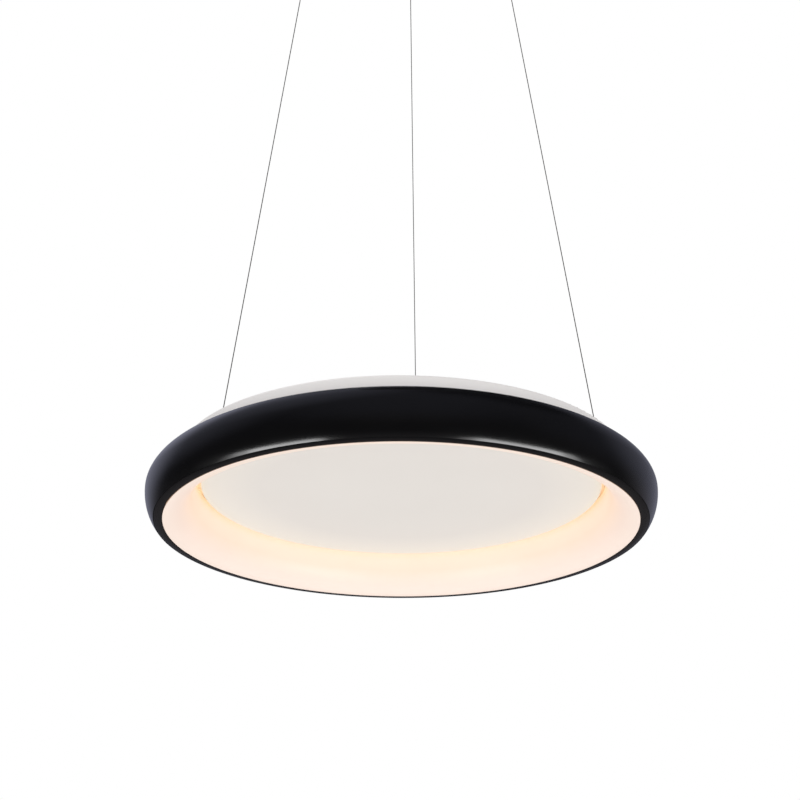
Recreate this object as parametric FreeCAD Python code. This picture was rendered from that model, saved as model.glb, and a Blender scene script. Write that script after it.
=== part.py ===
"""Round LED pendant light hung on three wires, modelled piece by piece.

Lengths are millimetres and angles are degrees. The origin is the middle of the ceiling
bracket's top face, where it lies on the ceiling, and +Z is up, so the whole light is below
zero. The front of the light faces -Y. An azimuth of 0 is the front and 90 is the +X side.

Heights of the lamp's own pieces are measured up from the lowest plane of its black ring and
turned into the part's frame by level().
"""
import math
import os

import FreeCAD, Part

V = FreeCAD.Vector
UP = V(0, 0, 1)
HOME = V(0, 0, 0)

# Degrees from a section's side to its top, and clearances that every piece shares
quarter_turn = 90.0
seat_gap = 0.3
fit_gap = 0.1
overrun = 1.0

# How the light hangs. The wires are set out as they appear in the photograph: the two front
# ones a third of a turn apart, the rear one a little to the right of the middle.
drop = 990.0
left_azimuth = -54.9
right_azimuth = 65.1
rear_azimuth = 174.8
wire_radius = 0.6
wire_gap = 0.15

# Black spun ring: a hollow section, elliptical outside, with a flat lip round the opening. It
# is widest at its centre height.
ring_radius = 305.8
ring_height = 63.7
ring_centre_height = 34.6
ring_half_width = 35.2
ring_wall = 1.2
crease_inset = 11.6
lip_rise = 0.8
lip_width = 10.3
ring_flange_width = 11.6

# White spun reflector: a trumpet that flares from the throat to the opening
rim_gap = 0.7
trumpet_width = 35.8
trumpet_turn = 60.0
throat_height = 50.0
reflector_wall = 1.0
reflector_flange_width = 10.5

# Hexagonal pillars that carry the reflector, with their screws
pillar_height = 7.3
pillar_flats = 6.0
pillar_edge = 5.5
pillar_count = 6
pillar_azimuth = 33.0
small_screw_radius = 1.5
small_head_radius = 2.9
small_head_height = 1.8
small_screw_length = 6.0

# Chassis plate that everything in the lamp is fixed to
chassis_lap = 3.0
chassis_wall = 1.5
lead_hole_radius = 4.0
lead_hole_inset = 12.0
lead_hole_azimuth = 100.0

# White top cover, a shallow pan upside down on the ring's crown
cover_inset = 1.6
cover_height = 17.8
cover_wall = 1.0
cover_corner = 2.0

# White centre disc with a turned-up rim, and the pillars that hold it
halo_gap = 6.1
disc_recess = 48.0
disc_wall = 1.5
disc_rim_wall = 1.2
disc_rim_height = 6.0
disc_corner = 1.4
disc_pillar_radius = 150.0
disc_pillar_flats = 8.0
disc_pillar_count = 4
disc_pillar_azimuth = 45.0

# Aluminium drum that carries the LED strip above the disc
led_setback = 15.4
drum_wall = 1.0
drum_flange_width = 16.0
drum_screw_count = 6
drum_screw_azimuth = 15.0
strip_width = 8.0
strip_wall = 0.3
chip_count = 120
chip_width = 3.5
chip_height = 2.8
chip_depth = 0.8

# Straps under the chassis plate, and the three small screws in the ring's shoulder
strap_count = 3
strap_azimuth = 22.7
strap_width = 16.0
strap_wall = 2.0
strap_foot = 15.0
strap_step = 3.0
strap_pad = 10.0
shoulder_angle = 32.2
shoulder_screw_radius = 2.0
shoulder_screw_length = 8.0
shoulder_screw_recess = 0.7
shoulder_socket_radius = 1.15
shoulder_socket_depth = 2.0

# Wire anchors on the lamp: post, cap, insulating bushes and nut
anchor_inset = 21.5
post_radius = 5.5
stud_radius = 3.0
stud_end = 2.4
bush_wall = 0.8
bush_radius = 6.5
bush_sleeve = 1.0
anchor_nut_flats = 10.0
anchor_nut_height = 3.2
cap_radius = 6.8
cap_height = 8.0
cap_dome = 2.6
cap_bore_radius = 2.2
cap_bore_depth = 4.2
cap_mouth_radius = 3.2
cap_mouth_depth = 1.0
neck_length = 3.2
ferrule_radius = 1.3
ferrule_length = 6.5
pivot_height = 11.5

# Terminal block under the top cover
lamp_block_length = 26.0
lamp_block_width = 13.0
lamp_block_height = 8.0
lamp_block_offset = 60.0

# Canopy on the ceiling: steel bracket, round cover and its two side screws
canopy_radius = 160.0
gripper_inset = 19.3
canopy_height = 38.0
canopy_wall = 1.5
canopy_corner = 4.0
canopy_rim_gap = 0.5
bracket_width = 30.0
bracket_wall = 2.0
bracket_tab = 22.0
bracket_bend = 2.0
bracket_side_gap = 1.6
ceiling_screw_spacing = 88.9
ceiling_slot_radius = 2.3
ceiling_slot_length = 12.0
supply_hole_radius = 9.0
side_screw_drop = 14.0
side_screw_radius = 2.0
side_screw_reach = 9.0
side_head_radius = 5.0
side_head_length = 6.0
side_nut_wall = 3.0
side_nut_radius = 4.5
earth_screw_offset = 95.0
earth_screw_radius = 2.0
earth_head_radius = 4.0
earth_head_height = 2.6
earth_screw_length = 7.0

# Wire gripper: a barrel under the canopy with a threaded neck through its floor
barrel_radius = 6.5
barrel_length = 12.0
barrel_chamfer = 1.0
neck_radius = 5.0
neck_end = 2.0
gripper_top_wall = 2.0
gripper_bush_wall = 1.0
gripper_bush_radius = 8.0
gripper_bush_sleeve = 0.8
gripper_nut_flats = 14.0
gripper_nut_height = 5.0
mouth_length = 3.5
cone_length = 7.0
cone_small_radius = 2.6
cone_large_radius = 3.6

# Release plunger in the gripper: a tube with a ball cage, pushed down by a spring
plunger_radius = 2.3
plunger_bore_radius = 0.85
plunger_out = 4.0
plunger_chamfer = 0.4
cage_length = 4.5
spring_seat_radius = 3.0
spring_seat_wall = 1.0
ball_radius = 1.1
ball_gap = 0.05
ball_count = 3
spring_radius = 3.1
spring_wall = 0.7
tail_above = 4.5

# LED driver and mains terminal block on the canopy's floor
driver_length = 150.0
driver_width = 44.0
driver_height = 24.0
driver_corner = 3.0
driver_offset = 58.0
driver_ear = 12.0
driver_ear_wall = 2.5
driver_stud_radius = 2.0
driver_stud_length = 7.5
driver_nut_flats = 7.0
driver_nut_height = 3.0
block_length = 36.0
block_width = 20.0
block_height = 15.0
block_offset_x = 45.0
block_offset_y = 62.0
block_step = 5.0
block_screw_radius = 2.0
block_screw_depth = 6.0
block_poles = 3

# Radii worked out from the sizes above, from the outside of the ring inwards
crown_radius = ring_radius - ring_half_width
crease_radius = ring_radius - crease_inset
lip_radius = crease_radius - lip_width
rim_radius = lip_radius - rim_gap
throat_radius = rim_radius - trumpet_width
disc_radius = throat_radius - halo_gap
drum_radius = disc_radius - led_setback
ring_flange_radius = crown_radius - ring_flange_width
chassis_radius = ring_flange_radius + chassis_lap
cover_radius = crown_radius - cover_inset
anchor_radius = cover_radius - anchor_inset
pillar_radius = throat_radius + reflector_flange_width - pillar_edge
drum_screw_radius = drum_radius - drum_wall - drum_flange_width / 2

# Half heights of the ring's section, which is two quarter ellipses that meet where the ring is
# widest: the lower one starts at the crease, where the flat lip ends, and the upper one ends
# at the crown
crease_cosine = (crease_radius - crown_radius) / ring_half_width
ring_upper_height = ring_height - ring_centre_height
ring_lower_height = (ring_centre_height - lip_rise) / math.sqrt(1 - crease_cosine ** 2)

# Heights worked out from the sizes above, up from the ring's lowest plane
reflector_top = ring_height - pillar_height
chassis_top = ring_height + chassis_wall
cover_top = ring_height + cover_height
disc_top = disc_recess + disc_wall
strip_middle = (disc_top + disc_rim_height + ring_height - drum_wall) / 2
pivot_level = cover_top + pivot_height

# Where the wires leave the canopy
wire_top_radius = canopy_radius - gripper_inset
hanger_azimuths = {"left": left_azimuth, "right": right_azimuth, "rear": rear_azimuth}

# Heights in the canopy, down from the ceiling
canopy_base = -canopy_height
canopy_floor = canopy_base + canopy_wall
barrel_top = canopy_base - gripper_bush_wall
barrel_base = barrel_top - barrel_length
cone_base = barrel_base + mouth_length
neck_top = canopy_floor + gripper_bush_wall + gripper_nut_height + neck_end
wire_top = barrel_base - plunger_out
cage_top = cone_base + cage_length - seat_gap


def level(height):
    """Height above the ring's lowest plane, as a Z in the part's frame."""
    return height - drop


def spot(radius, azimuth, z=0.0):
    """Point at a radius and azimuth; azimuth 0 is the front, towards -Y."""
    turn = math.radians(azimuth)
    return V(radius * math.sin(turn), -radius * math.cos(turn), z)


def evenly(count, first):
    """Azimuths of so many copies, evenly round the axis."""
    return [first + 360.0 * index / count for index in range(count)]


def flat(point):
    """Point of a section, given as radius and height, in the XZ plane."""
    return V(point[0], 0, point[1])


def line(start, end):
    return Part.LineSegment(flat(start), flat(end)).toShape()


def outline(start, *steps):
    """Closed edges of a section. A step is a point, or a pair: a point on an arc and its end."""
    edges = []
    here = start
    for step in steps:
        if isinstance(step[0], tuple):
            edges.append(Part.Arc(flat(here), flat(step[0]), flat(step[1])).toShape())
            here = step[1]
        else:
            edges.append(line(here, step))
            here = step
    edges.append(line(here, start))
    return edges


def spun(edges):
    """Solid of revolution round the Z axis of a section's edges."""
    return Part.Face(Part.Wire(Part.__sortEdges__(edges))).revolve(HOME, UP, 360)


def rod(radius, low, high, place=HOME):
    """Upright cylinder between two heights."""
    return Part.makeCylinder(radius, high - low, V(place.x, place.y, low))


def cone(low_radius, high_radius, low, high, place=HOME):
    return Part.makeCone(low_radius, high_radius, high - low, V(place.x, place.y, low))


def pipe(outer, inner, low, high, place=HOME):
    """Upright tube between two heights."""
    return rod(outer, low, high, place).cut(rod(inner, low - overrun, high + overrun, place))


def hexagon(flats, low, high, place=HOME):
    """Upright hexagonal bar, with its size across flats."""
    corner = flats / math.sqrt(3)
    corners = [spot(corner, 60 * side, low) + place for side in range(7)]
    return Part.Face(Part.makePolygon(corners)).extrude(V(0, 0, high - low))


def block(length, width, low, high, place=HOME):
    """Upright box centred on a place."""
    corner = V(place.x - length / 2, place.y - width / 2, low)
    return Part.makeBox(length, width, high - low, corner)


def rounded_block(length, width, low, high, place, corner):
    """Upright box with rounded upright edges."""
    body = block(length, width, low, high, place)
    edges = [edge for edge in body.Edges
             if abs(edge.tangentAt(edge.FirstParameter).z) > math.cos(math.radians(1))]
    return body.makeFillet(corner, edges)


def corner_mid(centre, radius, angle):
    """Point on a section's corner arc."""
    turn = math.radians(angle)
    return (centre[0] + radius * math.cos(turn), centre[1] + radius * math.sin(turn))


def ellipse_point(half_width, half_height, angle):
    """Point of the ring's section; the angle is 0 at the side and 90 at the crown."""
    turn = math.radians(angle)
    return (crown_radius + half_width * math.cos(turn),
            level(ring_centre_height) + half_height * math.sin(turn))


def ellipse_edge(half_width, half_height, low, high):
    """Arc of an ellipse of the ring's section between two angles up from its side."""
    centre = V(crown_radius, 0, level(ring_centre_height))
    if half_height >= half_width:
        curve = Part.Ellipse(centre + V(0, 0, half_height), centre + V(half_width, 0, 0), centre)
        first, last = quarter_turn - high, quarter_turn - low
    else:
        curve = Part.Ellipse(centre + V(half_width, 0, 0), centre + V(0, 0, half_height), centre)
        first, last = low, high
    return Part.ArcOfEllipse(curve, math.radians(first), math.radians(last)).toShape()


def shoulder():
    """Place and outward direction of a shoulder screw, in the ring's section."""
    place = ellipse_point(ring_half_width, ring_upper_height, shoulder_angle)
    turn = math.radians(shoulder_angle)
    slope = math.atan2(math.sin(turn) / ring_upper_height, math.cos(turn) / ring_half_width)
    return place, (math.cos(slope), math.sin(slope))


def shoulder_cylinder(radius, inner, outer, azimuth):
    """Cylinder along a shoulder screw's axis, between two distances from the surface."""
    place, along = shoulder()
    start = V(place[0] + along[0] * inner, 0, place[1] + along[1] * inner)
    body = Part.makeCylinder(radius, outer - inner, start, V(along[0], 0, along[1]))
    body.rotate(HOME, UP, azimuth - quarter_turn)
    return body


def ring_shell():
    """Hollow black ring with its lip, top flange and the holes for the shoulder screws."""
    inner_width = ring_half_width - ring_wall
    inner_upper = ring_upper_height - ring_wall
    inner_lower = ring_lower_height - ring_wall
    lip_top = lip_rise + ring_wall
    outer_start = -math.degrees(math.acos(crease_cosine))
    inner_start = -math.degrees(math.asin((ring_centre_height - lip_top) / inner_lower))
    crease = (crease_radius, level(lip_rise))
    inner_crease = ellipse_point(inner_width, inner_lower, inner_start)
    top = level(ring_height)
    edges = [
        line((lip_radius, level(0)), crease),
        ellipse_edge(ring_half_width, ring_lower_height, outer_start, 0),
        ellipse_edge(ring_half_width, ring_upper_height, 0, quarter_turn),
        line((crown_radius, top), (ring_flange_radius, top)),
        line((ring_flange_radius, top), (ring_flange_radius, top - ring_wall)),
        line((ring_flange_radius, top - ring_wall), (crown_radius, top - ring_wall)),
        ellipse_edge(inner_width, inner_upper, 0, quarter_turn),
        ellipse_edge(inner_width, inner_lower, inner_start, 0),
        line(inner_crease, (lip_radius, level(ring_wall))),
        line((lip_radius, level(ring_wall)), (lip_radius, level(0))),
    ]
    shell = spun(edges)
    for azimuth in evenly(strap_count, strap_azimuth):
        hole = shoulder_cylinder(shoulder_screw_radius + seat_gap, -ring_wall - overrun,
                                 overrun, azimuth)
        shell = shell.cut(hole)
    return shell


def reflector():
    """White trumpet: one arc from the rim to the throat, an upright throat and a flange."""
    rim = (rim_radius, level(0))
    throat = (throat_radius, level(throat_height))
    chord = math.hypot(trumpet_width, throat_height)
    half_turn = math.radians(trumpet_turn / 2)
    bend = chord / (2 * math.sin(half_turn))
    across = (throat_height / chord, trumpet_width / chord)
    middle = ((rim[0] + throat[0]) / 2, (rim[1] + throat[1]) / 2)
    depth = bend * math.cos(half_turn)
    centre = (middle[0] + across[0] * depth, middle[1] + across[1] * depth)

    def behind(point):
        """The same point on the hidden face, one wall nearer the arc's centre."""
        share = (bend - reflector_wall) / bend
        return (centre[0] + (point[0] - centre[0]) * share,
                centre[1] + (point[1] - centre[1]) * share)

    bulge = (centre[0] - across[0] * bend, centre[1] - across[1] * bend)
    top = level(reflector_top)
    edge = throat_radius + reflector_flange_width
    body = spun(outline(
        rim,
        (bulge, throat),
        (throat_radius, top),
        (edge, top),
        (edge, top - reflector_wall),
        (behind(throat)[0], top - reflector_wall),
        behind(throat),
        (behind(bulge), behind(rim)),
    ))
    for azimuth in evenly(pillar_count, pillar_azimuth):
        place = spot(pillar_radius, azimuth)
        low = top - reflector_wall - overrun
        body = body.cut(rod(small_screw_radius + fit_gap, low, top + overrun, place))
    return body


def reflector_pillars():
    """Hexagonal pillars between the reflector's flange and the chassis plate."""
    pillars = []
    low = level(reflector_top)
    high = level(ring_height)
    for azimuth in evenly(pillar_count, pillar_azimuth):
        place = spot(pillar_radius, azimuth)
        rivet = rod(small_screw_radius, low - reflector_wall, low, place)
        body = hexagon(pillar_flats, low, high, place).fuse(rivet)
        thread = rod(small_screw_radius, high - small_screw_length, high + overrun, place)
        pillars.append(body.cut(thread).removeSplitter())
    return pillars


def pan_screw(radius, head_radius, head_height, length, z, place):
    """Screw from above with a low round head and a cross slot."""
    head = cone(head_radius, head_radius * 0.8, z, z + head_height, place)
    slot_depth = head_height / 2
    for turned in (False, True):
        long, short = head_radius * 1.2, head_radius * 0.25
        size = (short, long) if turned else (long, short)
        head = head.cut(block(*size, z + head_height - slot_depth, z + head_height + overrun,
                              place))
    return head.fuse(rod(radius, z - length, z, place)).removeSplitter()


def reflector_screws():
    """Screws from above, through the chassis plate into the pillars."""
    return [pan_screw(small_screw_radius - fit_gap, small_head_radius, small_head_height,
                      small_screw_length, level(chassis_top), spot(pillar_radius, azimuth))
            for azimuth in evenly(pillar_count, pillar_azimuth)]


def drum_screws():
    """Screws from above, through the chassis plate into the drum's flange."""
    return [pan_screw(small_screw_radius - fit_gap, small_head_radius, small_head_height,
                      chassis_wall + drum_wall + seat_gap, level(chassis_top),
                      spot(drum_screw_radius, azimuth))
            for azimuth in evenly(drum_screw_count, drum_screw_azimuth)]


def disc_screws():
    """Screws from above, through the chassis plate into the disc's pillars."""
    return [pan_screw(small_screw_radius - fit_gap, small_head_radius, small_head_height,
                      small_screw_length, level(chassis_top),
                      spot(disc_pillar_radius, azimuth))
            for azimuth in evenly(disc_pillar_count, disc_pillar_azimuth)]


def chassis_plate():
    """Round aluminium plate on the ring's flange, with every hole that is used."""
    low, high = level(ring_height), level(chassis_top)
    plate = rod(chassis_radius, low, high)
    holes = [(spot(pillar_radius, azimuth), small_screw_radius + fit_gap)
             for azimuth in evenly(pillar_count, pillar_azimuth)]
    holes += [(spot(drum_screw_radius, azimuth), small_screw_radius + fit_gap)
              for azimuth in evenly(drum_screw_count, drum_screw_azimuth)]
    holes += [(spot(disc_pillar_radius, azimuth), small_screw_radius + fit_gap)
              for azimuth in evenly(disc_pillar_count, disc_pillar_azimuth)]
    holes += [(spot(anchor_radius, azimuth), stud_radius + bush_sleeve + fit_gap)
              for azimuth in hanger_azimuths.values()]
    holes.append((spot(drum_radius + lead_hole_inset, lead_hole_azimuth), lead_hole_radius))
    for place, radius in holes:
        plate = plate.cut(rod(radius, low - overrun, high + overrun, place))
    return plate


def top_cover():
    """Shallow white pan, open below, with a hole for each wire anchor."""
    base = level(ring_height + seat_gap)
    top = level(cover_top)
    inner_radius = cover_radius - cover_wall
    inner_top = top - cover_wall
    inner_corner = max(cover_corner - cover_wall, cover_wall / 4)
    outer_centre = (cover_radius - cover_corner, top - cover_corner)
    inner_centre = (inner_radius - inner_corner, inner_top - inner_corner)
    body = spun(outline(
        (cover_radius, base),
        (cover_radius, outer_centre[1]),
        (corner_mid(outer_centre, cover_corner, 45), (outer_centre[0], top)),
        (0, top),
        (0, inner_top),
        (inner_centre[0], inner_top),
        (corner_mid(inner_centre, inner_corner, 45), (inner_radius, inner_centre[1])),
        (inner_radius, base),
    ))
    for azimuth in hanger_azimuths.values():
        radius = stud_radius + bush_sleeve + fit_gap
        hole = rod(radius, inner_top - overrun, top + overrun, spot(anchor_radius, azimuth))
        body = body.cut(hole)
    return body


def centre_disc():
    """White disc that hides the LEDs, with its rim turned up."""
    low, high = level(disc_recess), level(disc_top)
    rim_top = high + disc_rim_height - disc_wall
    rim_inside = disc_radius - disc_rim_wall
    centre = (disc_radius - disc_corner, low + disc_corner)
    return spun(outline(
        (0, low),
        (centre[0], low),
        (corner_mid(centre, disc_corner, -45), (disc_radius, centre[1])),
        (disc_radius, rim_top),
        (rim_inside, rim_top),
        (rim_inside, high),
        (0, high),
    ))


def disc_pillars():
    """Hexagonal pillars welded on the disc's back, up to the chassis plate."""
    pillars = []
    low, high = level(disc_top), level(ring_height)
    for azimuth in evenly(disc_pillar_count, disc_pillar_azimuth):
        place = spot(disc_pillar_radius, azimuth)
        thread = rod(small_screw_radius, high - small_screw_length, high + overrun, place)
        pillars.append(hexagon(disc_pillar_flats, low, high, place).cut(thread))
    return pillars


def led_drum():
    """Ring of sheet aluminium: an upright wall for the LED strip and a flange to fix it."""
    low, top = level(disc_top + seat_gap), level(ring_height)
    inner = drum_radius - drum_wall
    flange = inner - drum_flange_width
    body = spun(outline(
        (drum_radius, low),
        (drum_radius, top),
        (flange, top),
        (flange, top - drum_wall),
        (inner, top - drum_wall),
        (inner, low),
    ))
    for azimuth in evenly(drum_screw_count, drum_screw_azimuth):
        hole = rod(small_screw_radius, top - drum_wall - overrun, top + overrun,
                   spot(drum_screw_radius, azimuth))
        body = body.cut(hole)
    return body


def led_strip():
    """Flexible circuit strip wound once round the drum."""
    low = level(strip_middle - strip_width / 2)
    inner = drum_radius + fit_gap
    return pipe(inner + strip_wall, inner, low, low + strip_width)


def led_chips():
    """White LED packages, evenly along the strip."""
    chips = []
    inner = drum_radius + fit_gap + strip_wall
    low = level(strip_middle - chip_height / 2)
    for azimuth in evenly(chip_count, 0.0):
        corner = V(-chip_width / 2, -inner - chip_depth, low)
        chip = Part.makeBox(chip_width, chip_depth - fit_gap / 2, chip_height, corner)
        chip.rotate(HOME, UP, azimuth)
        chips.append(chip)
    return chips


def mitred(points, wall):
    """Closed outline of a bent strip: its outer points, then its inner ones, one wall away."""
    inner = []
    for index, point in enumerate(points):
        normals = []
        for start, end in zip(points[index - 1:index + 1] if index else [],
                              points[index:index + 1] if index else []):
            normals.append((end[1] - start[1], start[0] - end[0]))
        if index < len(points) - 1:
            start, end = points[index], points[index + 1]
            normals.append((end[1] - start[1], start[0] - end[0]))
        units = [(x / math.hypot(x, z), z / math.hypot(x, z)) for x, z in normals]
        along = (sum(unit[0] for unit in units), sum(unit[1] for unit in units))
        size = wall * len(units) / (along[0] ** 2 + along[1] ** 2)
        inner.append((point[0] + along[0] * size, point[1] + along[1] * size))
    return points + inner[::-1]


def ring_straps():
    """Bent straps from the chassis plate to the inside of the ring's shoulder."""
    place, along = shoulder()
    into = ring_wall + 2 * seat_gap
    pad = (place[0] - along[0] * into, place[1] - along[1] * into)
    up = (-along[1] * strap_pad / 2, along[0] * strap_pad / 2)
    top = level(ring_height)
    points = [
        (ring_flange_radius - strap_foot, top),
        (ring_flange_radius - strap_step, top),
        (ring_flange_radius, top - ring_wall - 2 * seat_gap),
        (pad[0] + up[0], pad[1] + up[1]),
        (pad[0] - up[0], pad[1] - up[1]),
    ]
    closed = mitred(points, strap_wall)
    wire = Part.makePolygon([flat(point) for point in closed + closed[:1]])
    straps = []
    for azimuth in evenly(strap_count, strap_azimuth):
        strap = Part.Face(wire).extrude(V(0, strap_width, 0))
        strap.translate(V(0, -strap_width / 2, 0))
        strap.rotate(HOME, UP, azimuth - quarter_turn)
        hole = shoulder_cylinder(shoulder_screw_radius, -into - strap_wall - overrun,
                                 overrun, azimuth)
        straps.append(strap.cut(hole))
    return straps


def ring_screws():
    """Small black socket screws, sunk just below the ring's surface."""
    screws = []
    outer = -shoulder_screw_recess
    for azimuth in evenly(strap_count, strap_azimuth):
        body = shoulder_cylinder(shoulder_screw_radius - fit_gap,
                                 outer - shoulder_screw_length, outer, azimuth)
        socket = shoulder_cylinder(shoulder_socket_radius, outer - shoulder_socket_depth,
                                   outer + overrun, azimuth)
        screws.append(body.cut(socket))
    return screws


def anchor_posts():
    """Stepped posts: a stud through the chassis plate, a body and a neck through the cover."""
    posts = []
    low = level(ring_height) - bush_wall - anchor_nut_height - stud_end
    body_low = level(chassis_top) + bush_wall
    body_high = level(cover_top) - cover_wall - bush_wall
    neck_high = level(cover_top) + bush_wall + neck_length
    for azimuth in hanger_azimuths.values():
        place = spot(anchor_radius, azimuth)
        post = rod(post_radius, body_low, body_high, place)
        posts.append(post.fuse(rod(stud_radius, low, neck_high, place)).removeSplitter())
    return posts


def anchor_bushes():
    """Insulating bushes: one in the chassis plate with its washer, one in the cover."""
    bushes = []
    inner = stud_radius + fit_gap / 2
    sleeve = stud_radius + bush_sleeve
    plate_low, plate_high = level(ring_height), level(chassis_top)
    cover_low, cover_high = level(cover_top) - cover_wall, level(cover_top)
    for azimuth in hanger_azimuths.values():
        place = spot(anchor_radius, azimuth)
        lower = rod(bush_radius, plate_high, plate_high + bush_wall, place)
        lower = lower.fuse(rod(sleeve, plate_low, plate_high, place))
        washer = rod(bush_radius, plate_low - bush_wall, plate_low, place)
        upper = rod(bush_radius, cover_low - bush_wall, cover_low, place)
        upper = upper.fuse(rod(sleeve, cover_low, cover_high, place))
        upper = upper.fuse(rod(bush_radius, cover_high, cover_high + bush_wall, place))
        bore = rod(inner, plate_low - bush_wall - overrun, cover_high + bush_wall + overrun, place)
        bushes += [body.cut(bore).removeSplitter() for body in (lower, washer, upper)]
    return bushes


def anchor_nuts():
    """Nuts under the chassis plate that hold the posts."""
    nuts = []
    high = level(ring_height) - bush_wall
    low = high - anchor_nut_height
    for azimuth in hanger_azimuths.values():
        place = spot(anchor_radius, azimuth)
        bore = rod(stud_radius + fit_gap / 2, low - overrun, high + overrun, place)
        nuts.append(hexagon(anchor_nut_flats, low, high, place).cut(bore))
    return nuts


def anchor_caps():
    """Domed caps on the necks, each with a funnel for the end of a wire."""
    caps = []
    low = level(cover_top) + bush_wall
    high = low + cap_height
    shoulder_z = high - cap_dome
    edge = math.hypot(cap_radius, cap_dome) / 2
    bend = 2 * edge ** 2 / cap_dome
    dome_centre = (0, high - bend)
    half = math.degrees(math.atan2(cap_radius, shoulder_z - dome_centre[1]))
    section = outline(
        (0, low),
        (cap_radius, low),
        (cap_radius, shoulder_z),
        (corner_mid(dome_centre, bend, quarter_turn - half / 2), (0, high)),
    )
    for azimuth in hanger_azimuths.values():
        place = spot(anchor_radius, azimuth)
        body = spun(section)
        body.translate(place)
        funnel = rod(cap_bore_radius, high - cap_bore_depth, high + overrun, place)
        mouth = cone(cap_bore_radius, cap_mouth_radius, high - cap_mouth_depth, high, place)
        neck = rod(stud_radius + fit_gap / 2, low - overrun, low + neck_length, place)
        caps.append(body.cut(funnel).cut(mouth).cut(neck).removeSplitter())
    return caps


def wire_ends(name):
    """Top and bottom ends of a wire's free stretch."""
    azimuth = hanger_azimuths[name]
    return (spot(wire_top_radius, azimuth, wire_top - wire_gap),
            spot(anchor_radius, azimuth, level(pivot_level)))


def wire(name):
    """Free stretch of a hanging wire, straight from its gripper to its ferrule."""
    top, bottom = wire_ends(name)
    return Part.makeCylinder(wire_radius, (bottom - top).Length, top, bottom - top)


def ferrule(name):
    """Crimped ferrule on the lower end of a wire, down in the cap's funnel."""
    top, bottom = wire_ends(name)
    along = (bottom - top).normalize()
    return Part.makeCylinder(ferrule_radius, ferrule_length, bottom, along)


def lamp_block():
    """Terminal block on the chassis plate, under the top cover."""
    low = level(chassis_top)
    place = V(0, lamp_block_offset, 0)
    body = block(lamp_block_length, lamp_block_width, low, low + lamp_block_height, place)
    for side in (-1, 1):
        pole = V(side * lamp_block_length / 4, lamp_block_offset, 0)
        body = body.cut(rod(block_screw_radius, low + lamp_block_height / 2,
                            low + lamp_block_height + overrun, pole))
    return body


def ceiling_bracket():
    """Steel strip on the ceiling, its ends bent down inside the canopy cover."""
    reach = canopy_radius - canopy_wall - bracket_side_gap
    inner = bracket_bend
    outer = bracket_bend + bracket_wall
    centre = (reach - outer, -outer)
    half = outline(
        (0, 0),
        (centre[0], 0),
        (corner_mid(centre, outer, 45), (reach, centre[1])),
        (reach, -bracket_tab),
        (reach - bracket_wall, -bracket_tab),
        (reach - bracket_wall, centre[1]),
        (corner_mid(centre, inner, 45), (centre[0], -bracket_wall)),
        (0, -bracket_wall),
    )
    strip = Part.Face(Part.Wire(half)).extrude(V(0, bracket_width, 0))
    strip.translate(V(0, -bracket_width / 2, 0))
    other = strip.copy()
    other.rotate(HOME, UP, 180)
    strip = strip.fuse(other)
    nut_back = reach - bracket_wall - side_nut_wall
    for side in (-1, 1):
        start = V(side * nut_back, 0, -side_screw_drop)
        boss = Part.makeCylinder(side_nut_radius, side_nut_wall, start, V(side, 0, 0))
        strip = strip.fuse(boss)
        hole = Part.makeCylinder(side_screw_radius, canopy_radius, V(side, 0, 0) * overrun
                                 + V(0, 0, -side_screw_drop), V(side, 0, 0))
        strip = strip.cut(hole)
        middle = V(side * ceiling_screw_spacing / 2, 0, 0)
        straight = ceiling_slot_length - 2 * ceiling_slot_radius
        slot = block(straight, 2 * ceiling_slot_radius, -bracket_wall - overrun, overrun, middle)
        for end in (-1, 1):
            place = middle + V(end * straight / 2, 0, 0)
            slot = slot.fuse(rod(ceiling_slot_radius, -bracket_wall - overrun, overrun, place))
        strip = strip.cut(slot)
    strip = strip.cut(rod(supply_hole_radius, -bracket_wall - overrun, overrun))
    earth = V(-earth_screw_offset, 0, 0)
    strip = strip.cut(rod(earth_screw_radius, -bracket_wall - overrun, overrun, earth))
    return strip.removeSplitter()


def earth_screw():
    """Earth screw up into the bracket, with a square clamp washer under its head."""
    place = V(-earth_screw_offset, 0, 0)
    head_low = -bracket_wall - chassis_wall - earth_head_height
    shank = rod(earth_screw_radius - fit_gap, head_low, -seat_gap, place)
    head = rod(earth_head_radius, head_low, head_low + earth_head_height, place)
    washer = block(2 * earth_head_radius + chassis_wall, 2 * earth_head_radius + chassis_wall,
                   head_low + earth_head_height, -bracket_wall, place)
    slot = block(2 * earth_head_radius + overrun, earth_screw_radius / 2, head_low - overrun,
                 head_low + earth_head_height / 2, place)
    return head.fuse(washer).fuse(shank).cut(slot).removeSplitter()


def driver_place():
    return V(0, -driver_offset, 0)


def stud_places():
    """Where the driver's two ears are held."""
    reach = driver_length / 2 + driver_ear / 2
    return [V(side * reach, -driver_offset, 0) for side in (-1, 1)]


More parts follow.
